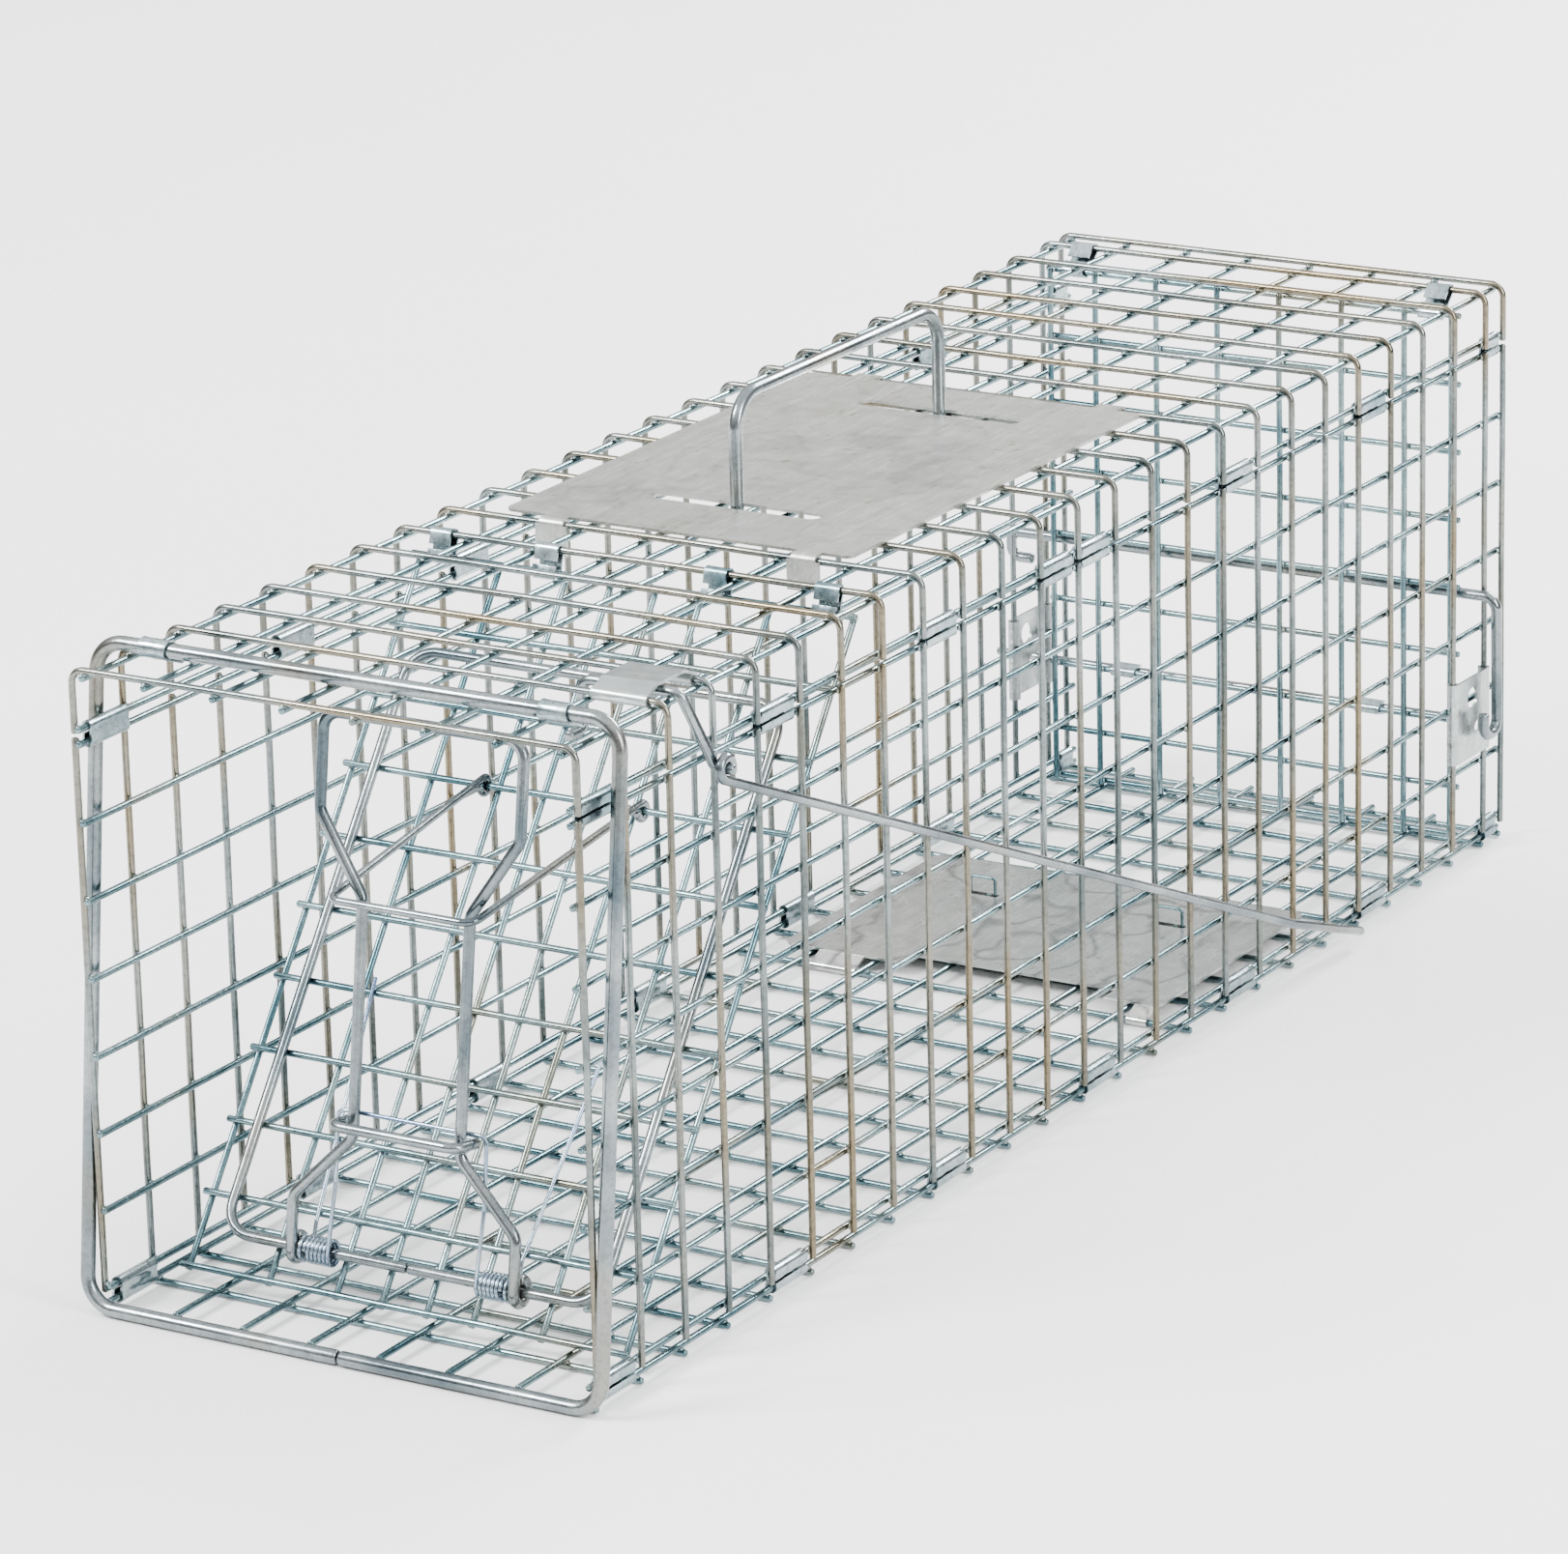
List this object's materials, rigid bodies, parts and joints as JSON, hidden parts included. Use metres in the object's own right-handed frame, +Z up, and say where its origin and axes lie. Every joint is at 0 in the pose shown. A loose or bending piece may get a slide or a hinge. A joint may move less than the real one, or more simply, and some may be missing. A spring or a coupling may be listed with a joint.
{
  "type": "live catch trap",
  "caption": "Folding welded-wire cage trap with a sloping drop door, spring lock frame, treadle with an outside trigger rod, handle and barred rear door.",
  "frame": {"origin": "middle of the overall box, at the level the cage stands on", "axes": "-Y towards the front opening, +Y towards the rear door, +X to the trap's right, +Z up"},
  "size_m": [0.2146, 0.6326, 0.2504],
  "materials": {
    "zinc_wire": "bright zinc plate, faint blue and straw tints",
    "heavy_wire": "zinc-plated drawn wire, satin",
    "spring_wire": "zinc-plated spring wire",
    "clip_strip": "zinc-plated strip, crimped",
    "galvanised_sheet": "pale galvanised sheet with smudges"
  },
  "bodies": {
    "cage": {"floor_panel": "zinc_wire", "left_side_panel": "zinc_wire", "right_side_panel": "zinc_wire", "top_cover": "zinc_wire", "upper_left_seam_clips": "clip_strip", "upper_right_seam_clips": "clip_strip", "lower_left_seam_clips": "clip_strip", "lower_right_seam_clips": "clip_strip", "door_hinge_clips": "clip_strip", "rear_hinge_clips": "clip_strip", "hoop_clips": "clip_strip", "latch_plate": "galvanised_sheet", "handle_plate": "galvanised_sheet", "left_padlock_plate": "galvanised_sheet", "right_padlock_plate": "galvanised_sheet", "treadle_links": "zinc_wire"},
    "hoop": {"front_hoop": "heavy_wire"},
    "front_door": {"front_door_mesh": "zinc_wire", "front_door_frame": "heavy_wire", "lock_spring_legs": "spring_wire"},
    "lock": {"lock_frame": "heavy_wire", "lock_tie": "heavy_wire", "lock_spring": "spring_wire"},
    "loop": {"guide_loop": "zinc_wire"},
    "crank": {"latch_crank": "heavy_wire"},
    "rod": {"trigger_rod": "heavy_wire"},
    "treadle": {"treadle_plate": "galvanised_sheet"},
    "handle_bail": {"handle": "heavy_wire"},
    "rear_door": {"rear_door_mesh": "zinc_wire", "rear_door_sleeves": "clip_strip"},
    "lock_bar": {"rear_lock_rod": "heavy_wire"},
    "bail": {"rear_bail": "heavy_wire"}
  },
  "joints": [
    {"name": "front_door_swing", "type": "hinge", "parent": "cage", "child": "front_door", "pos_m": [0.0027, -0.13419, 0.20235], "axis": [-1, 0, 0], "range_deg": [0, 32.5]},
    {"name": "lock_frame_swing", "type": "hinge", "parent": "front_door", "child": "lock", "pos_m": [0.0027, -0.27468, 0.01796], "axis": [-1, 0, 0], "range_deg": [0, 26.1]},
    {"name": "guide_loop_swing", "type": "hinge", "parent": "front_door", "child": "loop", "pos_m": [0.0027, -0.17783, 0.14358], "axis": [1, 0, 0], "range_deg": [0, 36.8]},
    {"name": "front_hoop_swing", "type": "hinge", "parent": "cage", "child": "hoop", "pos_m": [0.0027, -0.29049, 0.2135], "axis": [-1, 0, 0], "range_deg": [0, 95]},
    {"name": "latch_crank_turn", "type": "hinge", "parent": "cage", "child": "crank", "pos_m": [0.0679, -0.25049, 0.2106], "axis": [1, 0, 0], "range_deg": [-15, 20]},
    {"name": "trigger_rod_swing", "type": "hinge", "parent": "crank", "child": "rod", "pos_m": [0.1041, -0.24299, 0.18635], "axis": [1, 0, 0], "range_deg": [-20, 15]},
    {"name": "treadle_tilt", "type": "hinge", "parent": "cage", "child": "treadle", "pos_m": [0.0027, 0.07151, 0.00115], "axis": [1, 0, 0], "range_deg": [0, 3]},
    {"name": "handle_tilt", "type": "hinge", "parent": "cage", "child": "handle_bail", "pos_m": [0.0027, -0.06819, 0.20795], "axis": [0, 1, 0], "range_deg": [-75, 75]},
    {"name": "rear_door_swing", "type": "hinge", "parent": "cage", "child": "rear_door", "pos_m": [0.0027, 0.29251, 0.20235], "axis": [-1, 0, 0], "range_deg": [0, 80]},
    {"name": "rear_lock_rod_slide", "type": "slide", "parent": "cage", "child": "lock_bar", "axis": [-1, 0, 0], "range_m": [0, 0.17]},
    {"name": "rear_bail_swing", "type": "hinge", "parent": "cage", "child": "bail", "pos_m": [0.0027, 0.29631, 0.09765], "axis": [1, 0, 0], "range_deg": [0, 150]}
  ],
  "couplings": [
    {"joint": "lock_frame_swing", "follows": "front_door_swing", "ratio": 0.8},
    {"joint": "guide_loop_swing", "follows": "front_door_swing", "ratio": 1.129},
    {"joint": "trigger_rod_swing", "follows": "latch_crank_turn", "ratio": -1}
  ]
}
